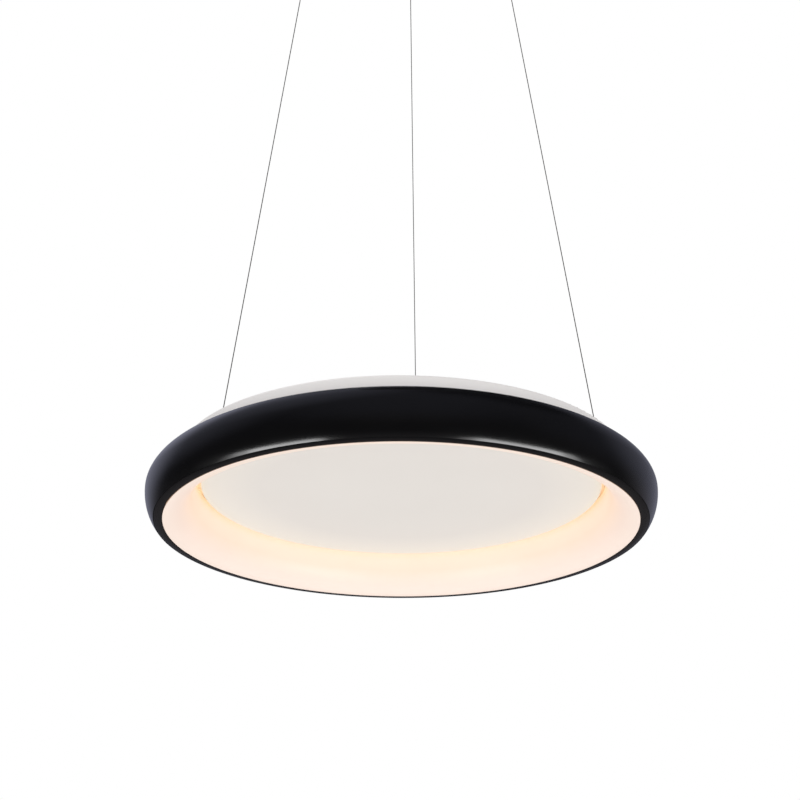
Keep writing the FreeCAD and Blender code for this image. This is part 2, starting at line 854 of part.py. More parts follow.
def canopy_cover():
    """Round pan open to the ceiling, with gripper holes, side holes and two weld studs."""
    rim = -canopy_rim_gap
    inner_radius = canopy_radius - canopy_wall
    inner_corner = max(canopy_corner - canopy_wall, canopy_wall / 4)
    outer_centre = (canopy_radius - canopy_corner, canopy_base + canopy_corner)
    inner_centre = (inner_radius - inner_corner, canopy_floor + inner_corner)
    body = spun(outline(
        (canopy_radius, rim),
        (canopy_radius, outer_centre[1]),
        (corner_mid(outer_centre, canopy_corner, -45), (outer_centre[0], canopy_base)),
        (0, canopy_base),
        (0, canopy_floor),
        (inner_centre[0], canopy_floor),
        (corner_mid(inner_centre, inner_corner, -45), (inner_radius, inner_centre[1])),
        (inner_radius, rim),
    ))
    for azimuth in hanger_azimuths.values():
        radius = neck_radius + gripper_bush_sleeve + fit_gap
        hole = rod(radius, canopy_base - overrun, canopy_floor + overrun,
                   spot(wire_top_radius, azimuth))
        body = body.cut(hole)
    for side in (-1, 1):
        start = V(side * (inner_radius - overrun), 0, -side_screw_drop)
        body = body.cut(Part.makeCylinder(side_screw_radius + fit_gap,
                                          canopy_wall + 2 * overrun, start, V(side, 0, 0)))
    for place in stud_places():
        body = body.fuse(rod(driver_stud_radius, canopy_floor,
                             canopy_floor + driver_stud_length, place))
    return body.removeSplitter()


def canopy_screws():
    """Two thumb screws through the cover's side into the bracket's nuts."""
    screws = []
    for side in (-1, 1):
        out = V(side, 0, 0)
        start = V(side * canopy_radius, 0, -side_screw_drop)
        head = Part.makeCylinder(side_head_radius, side_head_length, start, out)
        collar = Part.makeCylinder(side_head_radius * 0.7, side_head_length * 1.25, start, out)
        shank = Part.makeCylinder(side_screw_radius - fit_gap, side_screw_reach,
                                  start - out * side_screw_reach, out)
        screws.append(head.fuse(collar).fuse(shank).removeSplitter())
    return screws


def gripper_bodies():
    """Turned barrels with threaded necks, hollow for plunger, balls, spring and wire."""
    bodies = []
    for azimuth in hanger_azimuths.values():
        place = spot(wire_top_radius, azimuth)
        body = rod(barrel_radius, barrel_base + barrel_chamfer, barrel_top, place)
        body = body.fuse(cone(barrel_radius - barrel_chamfer, barrel_radius, barrel_base,
                              barrel_base + barrel_chamfer, place))
        body = body.fuse(rod(neck_radius, barrel_top, neck_top, place))
        mouth = rod(plunger_radius + fit_gap, barrel_base - overrun, cone_base, place)
        wedge = cone(cone_small_radius, cone_large_radius, cone_base, cone_base + cone_length,
                     place)
        chamber = rod(cone_large_radius, cone_base + cone_length,
                      neck_top - gripper_top_wall, place)
        exit_hole = rod(plunger_bore_radius, neck_top - gripper_top_wall - overrun,
                        neck_top + overrun, place)
        for hollow in (mouth, wedge, chamber, exit_hole):
            body = body.cut(hollow)
        bodies.append(body.removeSplitter())
    return bodies


def gripper_bushes():
    """Insulating bushes: a flanged sleeve from below and a washer above the floor."""
    bushes = []
    inner = neck_radius + fit_gap / 2
    for azimuth in hanger_azimuths.values():
        place = spot(wire_top_radius, azimuth)
        lower = rod(gripper_bush_radius, barrel_top, canopy_base, place)
        lower = lower.fuse(rod(neck_radius + gripper_bush_sleeve, canopy_base, canopy_floor,
                               place))
        washer = rod(gripper_bush_radius, canopy_floor, canopy_floor + gripper_bush_wall, place)
        bore = rod(inner, barrel_top - overrun, neck_top, place)
        bushes += [body.cut(bore).removeSplitter() for body in (lower, washer)]
    return bushes


def gripper_nuts():
    """Nuts on the necks, above the canopy's floor."""
    nuts = []
    low = canopy_floor + gripper_bush_wall
    high = low + gripper_nut_height
    for azimuth in hanger_azimuths.values():
        place = spot(wire_top_radius, azimuth)
        bore = rod(neck_radius + fit_gap / 2, low - overrun, high + overrun, place)
        nuts.append(hexagon(gripper_nut_flats, low, high, place).cut(bore))
    return nuts


def ball_places(name):
    """Centres of the gripping balls, where they touch both the wire and the cone."""
    azimuth = hanger_azimuths[name]
    out = wire_radius + ball_gap + ball_radius
    slope = math.atan2(cone_large_radius - cone_small_radius, cone_length)
    wall_radius = out + (ball_radius + ball_gap) / math.cos(slope)
    z = cone_base + (wall_radius - cone_small_radius) / math.tan(slope)
    centre = spot(wire_top_radius, azimuth)
    return [centre + spot(out, turn, z) for turn in evenly(ball_count, azimuth)]


def plunger(name):
    """Release plunger: a tube for the wire, drilled sideways for the balls, and a spring seat."""
    place = spot(wire_top_radius, hanger_azimuths[name])
    body = rod(plunger_radius, wire_top + plunger_chamfer, cage_top, place)
    body = body.fuse(cone(plunger_radius - plunger_chamfer, plunger_radius, wire_top,
                          wire_top + plunger_chamfer, place))
    body = body.fuse(rod(spring_seat_radius, cage_top, cage_top + spring_seat_wall, place))
    body = body.cut(rod(plunger_bore_radius, wire_top - overrun,
                        cage_top + spring_seat_wall + overrun, place))
    for centre in ball_places(name):
        out = V(centre.x - place.x, centre.y - place.y, 0).normalize()
        window = Part.makeCylinder(ball_radius + ball_gap, cone_large_radius,
                                   V(place.x, place.y, centre.z), out)
        body = body.cut(window)
    return body.removeSplitter()


def gripper_balls(name):
    """Steel balls in the plunger's cage, which grip the wire."""
    return [Part.makeSphere(ball_radius, centre) for centre in ball_places(name)]


def gripper_spring(name):
    """Space of the coil spring that pushes the plunger down."""
    place = spot(wire_top_radius, hanger_azimuths[name])
    return pipe(spring_radius, spring_radius - spring_wall, cage_top + spring_seat_wall,
                neck_top - gripper_top_wall, place)


def wire_tails():
    """The gripped stretch of each wire, up through its gripper into the canopy."""
    return [rod(wire_radius, wire_top, neck_top + tail_above, spot(wire_top_radius, azimuth))
            for azimuth in hanger_azimuths.values()]


def led_driver():
    """Driver case with an ear at each end."""
    low = canopy_floor
    body = rounded_block(driver_length, driver_width, low, low + driver_height,
                         driver_place(), driver_corner)
    for side, place in zip((-1, 1), stud_places()):
        ear = block(driver_ear + driver_corner, driver_width / 2, low, low + driver_ear_wall,
                    place - V(side * driver_corner / 2, 0, 0))
        body = body.fuse(ear).cut(rod(driver_stud_radius + fit_gap, low - overrun,
                                      low + driver_ear_wall + overrun, place))
    return body.removeSplitter()


def driver_nuts():
    """Nuts on the canopy's studs, over the driver's ears."""
    nuts = []
    low = canopy_floor + driver_ear_wall
    high = low + driver_nut_height
    for place in stud_places():
        bore = rod(driver_stud_radius + fit_gap / 2, low - overrun, high + overrun, place)
        nuts.append(hexagon(driver_nut_flats, low, high, place).cut(bore))
    return nuts


def mains_block():
    """Stepped terminal block for the supply, with a screw well for each pole."""
    place = V(block_offset_x, block_offset_y, 0)
    low = canopy_floor
    high = low + block_height
    body = block(block_length, block_width, low, high, place)
    for side in (-1, 1):
        shelf = V(block_offset_x, block_offset_y + side * (block_width - block_step) / 2, 0)
        body = body.cut(block(block_length + 2 * overrun, block_step, high - block_step,
                              high + overrun, shelf + V(0, side * overrun / 2, 0)))
    pitch = block_length / block_poles
    for pole in range(block_poles):
        x = block_offset_x + (pole - (block_poles - 1) / 2) * pitch
        body = body.cut(rod(block_screw_radius, high - block_screw_depth, high + overrun,
                            V(x, block_offset_y, 0)))
    return body


def mains_block_screws():
    """Clamp screws down in the wells of the terminal block."""
    screws = []
    high = canopy_floor + block_height - block_step / 2
    low = canopy_floor + block_height - block_screw_depth
    pitch = block_length / block_poles
    for pole in range(block_poles):
        x = block_offset_x + (pole - (block_poles - 1) / 2) * pitch
        place = V(x, block_offset_y, 0)
        screw = rod(block_screw_radius - fit_gap, low, high, place)
        screws.append(screw.cut(block(2 * block_screw_radius, block_screw_radius / 2,
                                      high - block_screw_radius / 2, high + overrun, place)))
    return screws


def parts():
    """Every node's name with its solid or solids."""
    nodes = {
        "ring_shell": ring_shell(),
        "reflector": reflector(),
        "reflector_pillars": reflector_pillars(),
        "reflector_screws": reflector_screws(),
        "chassis_plate": chassis_plate(),
        "top_cover": top_cover(),
        "centre_disc": centre_disc(),
        "disc_pillars": disc_pillars(),
        "disc_screws": disc_screws(),
        "led_drum": led_drum(),
        "drum_screws": drum_screws(),
        "led_strip": led_strip(),
        "led_chips": led_chips(),
        "ring_straps": ring_straps(),
        "ring_screws": ring_screws(),
        "anchor_posts": anchor_posts(),
        "anchor_bushes": anchor_bushes(),
        "anchor_nuts": anchor_nuts(),
        "anchor_caps": anchor_caps(),
        "lamp_terminal_block": lamp_block(),
        "ceiling_bracket": ceiling_bracket(),
        "earth_screw": earth_screw(),
        "canopy_cover": canopy_cover(),
        "canopy_screws": canopy_screws(),
        "gripper_bodies": gripper_bodies(),
        "gripper_bushes": gripper_bushes(),
        "gripper_nuts": gripper_nuts(),
        "wire_tails": wire_tails(),
        "led_driver": led_driver(),
        "driver_nuts": driver_nuts(),
        "mains_terminal_block": mains_block(),
        "mains_terminal_screws": mains_block_screws(),
    }
    for name in hanger_azimuths:
        nodes["wire_" + name] = wire(name)
        nodes["ferrule_" + name] = ferrule(name)
        nodes["plunger_" + name] = plunger(name)
        nodes["gripper_balls_" + name] = gripper_balls(name)
        nodes["gripper_spring_" + name] = gripper_spring(name)
    return nodes


def main():
    os.makedirs("parts", exist_ok=True)
    for name, shape in parts().items():
        if isinstance(shape, list):
            shape = Part.makeCompound(shape)
        shape.exportStep("parts/" + name + ".step")
        box = shape.BoundBox
        print(name, "solids", len(shape.Solids), "valid", shape.isValid(),
              "volume", round(shape.Volume, 2),
              "z", round(box.ZMin, 2), "to", round(box.ZMax, 2))
    for name in hanger_azimuths:
        top, bottom = wire_ends(name)
        print("wire", name, "is straight, length", round((bottom - top).Length, 1))


main()
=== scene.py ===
# %% [markdown]
# # A round LED pendant light on three wires
#
# The light is a black spun ring round a white reflector. A white disc in the middle hides the
# LEDs, whose warm light falls on the reflector. A white pan covers the top, and three steel
# wires carry it all from a canopy on the ceiling.
#
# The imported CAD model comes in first. It fixes every place and size, so the steps below only
# make finer surfaces over it and give everything its finish. All lengths are metres, the
# ceiling is at height zero and the light hangs below it.

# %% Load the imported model
import math

import bpy
import numpy as np
from mathutils import Matrix, Vector


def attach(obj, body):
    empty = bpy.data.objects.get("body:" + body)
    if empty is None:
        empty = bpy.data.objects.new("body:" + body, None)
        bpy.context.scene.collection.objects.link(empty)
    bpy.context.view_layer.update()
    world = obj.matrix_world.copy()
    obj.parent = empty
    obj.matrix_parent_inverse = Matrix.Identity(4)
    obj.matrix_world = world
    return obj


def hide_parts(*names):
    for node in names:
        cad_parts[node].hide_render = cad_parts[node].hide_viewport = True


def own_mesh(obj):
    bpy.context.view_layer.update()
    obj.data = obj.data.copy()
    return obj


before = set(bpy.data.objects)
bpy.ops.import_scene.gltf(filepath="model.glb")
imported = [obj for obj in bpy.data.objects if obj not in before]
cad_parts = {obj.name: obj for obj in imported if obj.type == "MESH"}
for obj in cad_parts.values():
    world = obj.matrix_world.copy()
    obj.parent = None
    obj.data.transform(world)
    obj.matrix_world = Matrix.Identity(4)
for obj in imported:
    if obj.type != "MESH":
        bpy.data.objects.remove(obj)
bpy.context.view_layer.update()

# %% [markdown]
# ## Sizes and places
#
# A few sizes of the light are used again and again: how far it hangs down, the wires' circle at
# the canopy and at the lamp, and where the wires stand round the light. Azimuth 0 is the front,
# which faces -Y, and 90 is the +X side. The wires aren't evenly spread, which is how the
# photograph shows them.

# %% Sizes and a helper for places
MM = 0.001
drop = 990 * MM
wire_top_radius = 140.7 * MM
anchor_radius = 247.5 * MM
wire_top = -55.15 * MM
wire_foot = 93 * MM - drop
wire_azimuths = {"left": -54.9, "right": 65.1, "rear": 174.8}


def level(millimetres):
    """Height above the ring's lowest plane, as a Z in metres."""
    return millimetres * MM - drop


def spot(radius, azimuth, z):
    """Point at a radius and azimuth round the light's axis."""
    turn = math.radians(azimuth)
    return Vector((radius * math.sin(turn), -radius * math.cos(turn), z))


print("wires leave the canopy at", wire_top, "and end on the lamp at", round(wire_foot, 4))

# %% [markdown]
# ## The camera
#
# The photograph looks up at the lamp from below and in front, by 24 degrees, with its lens
# turned a hair to one side. The ring's and the disc's outlines in the photograph gave the
# distance, the height and the focal length together: a long lens 1.57 m in front of the lamp.
# The three axes of the camera are written out, because they hold the small roll too.

# %% Camera
focal_share = 1376.83 / 800
camera_spot = (0.0, -1.57206, -0.52769 - drop)
pitch = math.radians(23.9945)
yaw = -0.0011831
roll = 0.0026410
forward = Vector((math.sin(yaw) * math.cos(pitch), math.cos(yaw) * math.cos(pitch),
                  math.sin(pitch)))
right = Vector((math.cos(yaw), -math.sin(yaw), 0))
up = Vector((-math.sin(yaw) * math.sin(pitch), -math.cos(yaw) * math.sin(pitch),
             math.cos(pitch)))
camera_right = right * math.cos(roll) + up * math.sin(roll)
camera_up = up * math.cos(roll) - right * math.sin(roll)
camera_data = bpy.data.cameras.new("camera")
camera_data.sensor_width = 36
camera_data.lens = 36 * focal_share
camera_data.clip_start = 0.05
camera_data.clip_end = 100
camera = bpy.data.objects.new("camera", camera_data)
bpy.context.collection.objects.link(camera)
camera.matrix_world = Matrix((
    (camera_right.x, camera_up.x, -forward.x, camera_spot[0]),
    (camera_right.y, camera_up.y, -forward.y, camera_spot[1]),
    (camera_right.z, camera_up.z, -forward.z, camera_spot[2]),
    (0, 0, 0, 1)))
bpy.context.scene.camera = camera
print("lens", round(camera_data.lens, 2), "mm, looking up", round(math.degrees(pitch), 1))

# %% [markdown]
# ## Shader groups
#
# Most finishes on this light share a few effects: the fine pebbled skin of powder coat, the
# faint rings that spinning or turning leaves, brush lines, dust that settles on what faces up,
# and a soft mottle. Each effect is one node group with named inputs, made once and used in many
# materials with other numbers. A group only gives out values and colours; the shader itself
# stays in the material.

# %% Helper that makes an empty group
def new_group(name, inputs, outputs):
    """Node group with float and colour sockets. Gives the group and its two end nodes."""
    tree = bpy.data.node_groups.new(name, "ShaderNodeTree")
    for label, value in inputs:
        kind = "NodeSocketColor" if isinstance(value, tuple) else "NodeSocketFloat"
        socket = tree.interface.new_socket(name=label, in_out="INPUT", socket_type=kind)
        socket.default_value = value
    for label, kind in outputs:
        tree.interface.new_socket(name=label, in_out="OUTPUT", socket_type=kind)
    return tree, tree.nodes.new("NodeGroupInput"), tree.nodes.new("NodeGroupOutput")


def join(tree, *pairs):
    """Links sockets, given as pairs of an output and an input."""
    for start, end in pairs:
        tree.links.new(start, end)


# %% Pebble: the skin of powder coat
pebble, ends_in, ends_out = new_group(
    "pebble", [("Size", 0.001), ("Amount", 1.0)], [("Height", "NodeSocketFloat")])
place = pebble.nodes.new("ShaderNodeTexCoord")
scale = pebble.nodes.new("ShaderNodeMath")
scale.operation = "DIVIDE"
scale.inputs[0].default_value = 1.0
grain = pebble.nodes.new("ShaderNodeTexNoise")
grain.inputs["Detail"].default_value = 3
grain.inputs["Roughness"].default_value = 0.55
amount = pebble.nodes.new("ShaderNodeMath")
amount.operation = "MULTIPLY"
join(pebble,
     (ends_in.outputs["Size"], scale.inputs[1]),
     (place.outputs["Object"], grain.inputs["Vector"]),
     (scale.outputs[0], grain.inputs["Scale"]),
     (grain.outputs["Fac"], amount.inputs[0]),
     (ends_in.outputs["Amount"], amount.inputs[1]),
     (amount.outputs[0], ends_out.inputs["Height"]))
print("group", pebble.name)

# %% Mottle: soft patches that shift a colour a little
mottle, ends_in, ends_out = new_group(
    "mottle",
    [("Color", (0.8, 0.8, 0.8, 1.0)), ("Second", (0.7, 0.7, 0.7, 1.0)), ("Patch", 0.03),
     ("Share", 0.5)],
    [("Color", "NodeSocketColor"), ("Mask", "NodeSocketFloat")])
place = mottle.nodes.new("ShaderNodeTexCoord")
scale = mottle.nodes.new("ShaderNodeMath")
scale.operation = "DIVIDE"
scale.inputs[0].default_value = 1.0
cloud = mottle.nodes.new("ShaderNodeTexNoise")
cloud.inputs["Detail"].default_value = 4
spread = mottle.nodes.new("ShaderNodeMapRange")
spread.inputs["From Min"].default_value = 0.35
spread.inputs["From Max"].default_value = 0.65
blend = mottle.nodes.new("ShaderNodeMix")
blend.data_type = "RGBA"
join(mottle,
     (ends_in.outputs["Patch"], scale.inputs[1]),
     (place.outputs["Object"], cloud.inputs["Vector"]),
     (scale.outputs[0], cloud.inputs["Scale"]),
     (cloud.outputs["Fac"], spread.inputs["Value"]),
     (ends_in.outputs["Share"], spread.inputs["To Max"]),
     (spread.outputs["Result"], blend.inputs["Factor"]),
     (ends_in.outputs["Color"], blend.inputs["A"]),
     (ends_in.outputs["Second"], blend.inputs["B"]),
     (blend.outputs["Result"], ends_out.inputs["Color"]),
     (spread.outputs["Result"], ends_out.inputs["Mask"]))
print("group", mottle.name)

# %% Dust: a pale film on what faces up
dust, ends_in, ends_out = new_group(
    "dust",
    [("Color", (0.5, 0.5, 0.5, 1.0)), ("Dust", (0.55, 0.53, 0.5, 1.0)), ("Amount", 0.1)],
    [("Color", "NodeSocketColor"), ("Mask", "NodeSocketFloat")])
place = dust.nodes.new("ShaderNodeTexCoord")
facing = dust.nodes.new("ShaderNodeNewGeometry")
parts_of_normal = dust.nodes.new("ShaderNodeSeparateXYZ")
upward = dust.nodes.new("ShaderNodeMapRange")
upward.inputs["From Min"].default_value = 0.5
upward.inputs["From Max"].default_value = 1.0
speckle = dust.nodes.new("ShaderNodeTexNoise")
speckle.inputs["Scale"].default_value = 60
speckle.inputs["Detail"].default_value = 8
speckle.inputs["Roughness"].default_value = 0.7
by_noise = dust.nodes.new("ShaderNodeMath")
by_noise.operation = "MULTIPLY"
mask = dust.nodes.new("ShaderNodeMath")
mask.operation = "MULTIPLY"
blend = dust.nodes.new("ShaderNodeMix")
blend.data_type = "RGBA"
join(dust,
     (place.outputs["Object"], speckle.inputs["Vector"]),
     (facing.outputs["Normal"], parts_of_normal.inputs[0]),
     (parts_of_normal.outputs["Z"], upward.inputs["Value"]),
     (upward.outputs["Result"], by_noise.inputs[0]),
     (speckle.outputs["Fac"], by_noise.inputs[1]),
     (by_noise.outputs[0], mask.inputs[0]),
     (ends_in.outputs["Amount"], mask.inputs[1]),
     (mask.outputs[0], blend.inputs["Factor"]),
     (ends_in.outputs["Color"], blend.inputs["A"]),
     (ends_in.outputs["Dust"], blend.inputs["B"]),
     (blend.outputs["Result"], ends_out.inputs["Color"]),
     (mask.outputs[0], ends_out.inputs["Mask"]))
print("group", dust.name)

# %% Tool lines: faint rings, or brush lines along one axis
tool_lines, ends_in, ends_out = new_group(
    "tool_lines", [("Along X", 1.0), ("Along Y", 1.0), ("Along Z", 1.0), ("Pitch", 0.001)],
    [("Height", "NodeSocketFloat")])
place = tool_lines.nodes.new("ShaderNodeTexCoord")
stretch = tool_lines.nodes.new("ShaderNodeCombineXYZ")
squeezed = tool_lines.nodes.new("ShaderNodeVectorMath")
squeezed.operation = "MULTIPLY"
scale = tool_lines.nodes.new("ShaderNodeMath")
scale.operation = "DIVIDE"
scale.inputs[0].default_value = 1.0
lines = tool_lines.nodes.new("ShaderNodeTexNoise")
lines.inputs["Detail"].default_value = 2
join(tool_lines,
     (ends_in.outputs["Along X"], stretch.inputs["X"]),
     (ends_in.outputs["Along Y"], stretch.inputs["Y"]),
     (ends_in.outputs["Along Z"], stretch.inputs["Z"]),
     (place.outputs["Object"], squeezed.inputs[0]),
     (stretch.outputs[0], squeezed.inputs[1]),
     (ends_in.outputs["Pitch"], scale.inputs[1]),
     (squeezed.outputs[0], lines.inputs["Vector"]),
     (scale.outputs[0], lines.inputs["Scale"]),
     (lines.outputs["Fac"], ends_out.inputs["Height"]))
print("group", tool_lines.name)

# %% [markdown]
# ## Finishes
#
# Every finish is a Principled shader whose colour, roughness and bump come from those groups.
# One helper makes the common part, so that a finish is mostly a few numbers: its two colours and
# the size of their patches, how rough it is, whether it is metal, and how fine and how deep its
# skin or its tool lines are.

# %% Helper that makes a finish
skin_depth = 0.2 * MM


def finish(name, color, second, patch=0.03, rough=(0.4, 0.5), metallic=0.0, specular=0.5,
           skin=0.001, lines=None, dusty=0.0, bump=0.1):
    """Material with a mottled colour, roughness between two values and a bumped skin."""
    material = bpy.data.materials.new(name)
    material.use_nodes = True
    tree = material.node_tree
    shader = tree.nodes["Principled BSDF"]
    shader.inputs["Metallic"].default_value = metallic
    shader.inputs["Specular IOR Level"].default_value = specular
    patches = tree.nodes.new("ShaderNodeGroup")
    patches.node_tree = mottle
    patches.inputs["Color"].default_value = (*color, 1)
    patches.inputs["Second"].default_value = (*second, 1)
    patches.inputs["Patch"].default_value = patch
    settled = tree.nodes.new("ShaderNodeGroup")
    settled.node_tree = dust
    settled.inputs["Amount"].default_value = dusty
    roughness = tree.nodes.new("ShaderNodeMapRange")
    roughness.inputs["To Min"].default_value = rough[0]
    roughness.inputs["To Max"].default_value = rough[1]
    join(tree,
         (patches.outputs["Color"], settled.inputs["Color"]),
         (settled.outputs["Color"], shader.inputs["Base Color"]),
         (patches.outputs["Mask"], roughness.inputs["Value"]),
         (roughness.outputs["Result"], shader.inputs["Roughness"]))
    relief = tree.nodes.new("ShaderNodeBump")
    relief.inputs["Strength"].default_value = bump
    relief.inputs["Distance"].default_value = skin_depth
    texture = tree.nodes.new("ShaderNodeGroup")
    if lines:
        texture.node_tree = tool_lines
        for socket, value in zip(("Along X", "Along Y", "Along Z", "Pitch"), lines):
            texture.inputs[socket].default_value = value
    else:
        texture.node_tree = pebble
        texture.inputs["Size"].default_value = skin
    join(tree,
         (texture.outputs["Height"], relief.inputs["Height"]),
         (relief.outputs["Normal"], shader.inputs["Normal"]))
    return material


# %% Painted and moulded finishes
black_coat = finish("black_coat", (0.0028, 0.0028, 0.0032), (0.0034, 0.0034, 0.0038),
                    patch=0.05, rough=(0.16, 0.19), skin=0.0012, bump=0.012, dusty=0.01)
# A darker and duller black, with hardly any gloss, for the fine groove at the ring's crease:
# painted shade in the crease.
crease_shade_black = finish("crease_shade_black", (0.002, 0.002, 0.002), (0.003, 0.003, 0.003),
                    rough=(0.85, 0.9), specular=0.1, skin=0.0008, bump=0.05)
white_coat = finish("white_coat", (0.79, 0.765, 0.755), (0.81, 0.785, 0.775), patch=0.08,
                    rough=(0.5, 0.58), specular=0.4, skin=0.001, bump=0.06, dusty=0.06)
disc_coat = finish("disc_coat", (0.86, 0.82, 0.775), (0.87, 0.83, 0.785), patch=0.1,
                    rough=(0.55, 0.62), specular=0.4, skin=0.0009, bump=0.05)
nylon = finish("nylon", (0.72, 0.71, 0.66), (0.66, 0.65, 0.6), patch=0.004,
               rough=(0.42, 0.52), skin=0.0006, bump=0.1)
driver_plastic = finish("driver_plastic", (0.76, 0.76, 0.74), (0.72, 0.72, 0.7), patch=0.02,
                        rough=(0.5, 0.6), skin=0.0007, bump=0.25)
strip_film = finish("strip_film", (0.82, 0.81, 0.76), (0.78, 0.77, 0.7), patch=0.006,
                    rough=(0.35, 0.45), skin=0.0005, bump=0.1)
print("painted and moulded finishes", len(bpy.data.materials))

# %% Metal finishes
sheet_aluminium = finish("sheet_aluminium", (0.78, 0.78, 0.79), (0.7, 0.7, 0.71),
                         patch=0.02, rough=(0.32, 0.45), metallic=1,
                         lines=(0.02, 1, 1, 0.0006), bump=0.15, dusty=0.1)
zinc_steel = finish("zinc_steel", (0.66, 0.67, 0.69), (0.56, 0.57, 0.56), patch=0.006,
                    rough=(0.28, 0.42), metallic=1, skin=0.0005, bump=0.1)
bracket_steel = finish("bracket_steel", (0.68, 0.69, 0.71), (0.58, 0.58, 0.58),
                       patch=0.012, rough=(0.26, 0.42), metallic=1,
                       lines=(0.03, 1, 1, 0.0005), bump=0.12, dusty=0.12)
nickel = finish("nickel", (0.7, 0.68, 0.65), (0.64, 0.62, 0.59), patch=0.004,
                rough=(0.14, 0.22), metallic=1, lines=(0.05, 0.05, 1, 0.0003), bump=0.06)
blackened = finish("blackened", (0.02, 0.02, 0.021), (0.03, 0.03, 0.031), patch=0.003,
                   rough=(0.35, 0.5), specular=0.4, skin=0.0004, bump=0.12)
brass = finish("brass", (0.74, 0.56, 0.27), (0.62, 0.45, 0.2), patch=0.003,
               rough=(0.25, 0.4), metallic=1, skin=0.0004, bump=0.1)
rope_steel = finish("rope_steel", (0.38, 0.355, 0.28), (0.3, 0.28, 0.215), patch=0.003,
                    rough=(0.3, 0.45), metallic=1, skin=0.0003, bump=0.1)
print("all finishes", len(bpy.data.materials))

# %% [markdown]
# ## The warm light
#
# On the real light a strip of LEDs shines sideways from behind the disc, through a gap of 6 mm,
# onto the reflector. Tracing that light through the gap would need very many samples. So the
# surfaces that it reaches give it off themselves: the reflector and its rim, the edge of the
# disc, and the chassis plate and the straps that show in the gap. A colour ramp over the height
# or the radius says how much, on top of the paint's own colour. The reflector is palest at the
# rim, most yellow halfway up and brightest in its throat, and the disc is lit at its edge only.

# %% Reach: how far out and how high a point lies, as shares of two ranges
reach, ends_in, ends_out = new_group(
    "reach", [("Inner", 0.0), ("Outer", 1.0), ("Low", level(0)), ("High", level(60))],
    [("Radius", "NodeSocketFloat"), ("Height", "NodeSocketFloat")])
place = reach.nodes.new("ShaderNodeTexCoord")
parts_of_place = reach.nodes.new("ShaderNodeSeparateXYZ")
flattened = reach.nodes.new("ShaderNodeVectorMath")
flattened.operation = "MULTIPLY"
flattened.inputs[1].default_value = (1, 1, 0)
distance = reach.nodes.new("ShaderNodeVectorMath")
distance.operation = "LENGTH"
outward_share = reach.nodes.new("ShaderNodeMapRange")
upward_share = reach.nodes.new("ShaderNodeMapRange")
join(reach,
     (place.outputs["Object"], flattened.inputs[0]),
     (flattened.outputs[0], distance.inputs[0]),
     (distance.outputs["Value"], outward_share.inputs["Value"]),
     (ends_in.outputs["Inner"], outward_share.inputs["From Min"]),
     (ends_in.outputs["Outer"], outward_share.inputs["From Max"]),
     (outward_share.outputs["Result"], ends_out.inputs["Radius"]),
     (place.outputs["Object"], parts_of_place.inputs[0]),
     (parts_of_place.outputs["Z"], upward_share.inputs["Value"]),
     (ends_in.outputs["Low"], upward_share.inputs["From Min"]),
     (ends_in.outputs["High"], upward_share.inputs["From Max"]),
     (upward_share.outputs["Result"], ends_out.inputs["Height"]))
print("group", reach.name)


# %% Helper that gives a finish its own warm light
def add_glow(material, along, low, high, colors):
    """Adds light whose colour follows the radius or the height, through a colour ramp."""
    tree = material.node_tree
    shader = tree.nodes["Principled BSDF"]
    place = tree.nodes.new("ShaderNodeGroup")
    place.node_tree = reach
    ends = ("Inner", "Outer") if along == "Radius" else ("Low", "High")
    for socket, value in zip(ends, (low, high)):
        place.inputs[socket].default_value = value
    ramp = tree.nodes.new("ShaderNodeValToRGB")
    steps = ramp.color_ramp.elements
    while len(steps) < len(colors):
        steps.new(0.5)
    for step, (position, color) in zip(steps, colors):
        step.position = position
        step.color = (*color, 1)
    join(tree, (place.outputs[along], ramp.inputs["Fac"]),
         (ramp.outputs["Color"], shader.inputs["Emission Color"]))
    shader.inputs["Emission Strength"].default_value = 1.0


# %% Reflector, its rim, disc edge, chassis with straps, and LED finishes
disc_lit_from, disc_edge = 170 * MM, 241.3 * MM
sheet_lit_from, sheet_lit_to = 215 * MM, 235 * MM
reflector_white = finish("reflector_white", (0.78, 0.76, 0.73), (0.8, 0.78, 0.75),
                         patch=0.08, rough=(0.42, 0.5), specular=0.4, skin=0.001, bump=0.04)
add_glow(reflector_white, "Height", level(0), level(60),
         [(0.0, (0.29, 0.155, 0.087)), (0.15, (0.28, 0.128, 0.058)),
          (0.45, (0.28, 0.112, 0.003)), (0.7, (0.38, 0.163, 0.053)),
          (0.84, (0.48, 0.212, 0.112)), (1.0, (0.65, 0.36, 0.178))])
add_glow(disc_coat, "Radius", disc_lit_from, disc_edge,
         [(0.0, (0, 0, 0)), (0.5, (0.036, 0.038, 0.028)), (0.85, (0.055, 0.068, 0.056)),
          (1.0, (0.075, 0.09, 0.045))])
# The reflector's cut edge at the rim sits in the narrow gap by the ring's lip. It is painted a
# darker brown than the reflector's white: painted shade in that gap, with some painted warm light
# on top.
rim_shade_and_glow = finish("rim_shade_and_glow", (0.4, 0.36, 0.3), (0.5, 0.44, 0.36), rough=(0.4, 0.5),
                   specular=0.3, skin=0.001, bump=0.03)
add_glow(rim_shade_and_glow, "Height", level(0), level(2),
         [(0.0, (0.1, 0.05, 0.02)), (1.0, (0.2, 0.1, 0.04))])
lit_sheet = finish("lit_sheet", (0.75, 0.74, 0.72), (0.7, 0.69, 0.67), patch=0.02,
                   rough=(0.35, 0.45), metallic=0.6, lines=(0.02, 1, 1, 0.0006), bump=0.1)
add_glow(lit_sheet, "Radius", sheet_lit_from, sheet_lit_to,
         [(0.0, (0, 0, 0)), (1.0, (0.42, 0.26, 0.135))])
phosphor = finish("phosphor", (0.9, 0.72, 0.22), (0.88, 0.66, 0.18), patch=0.002,
                  rough=(0.35, 0.45), skin=0.0003, bump=0.1)
shader = phosphor.node_tree.nodes["Principled BSDF"]
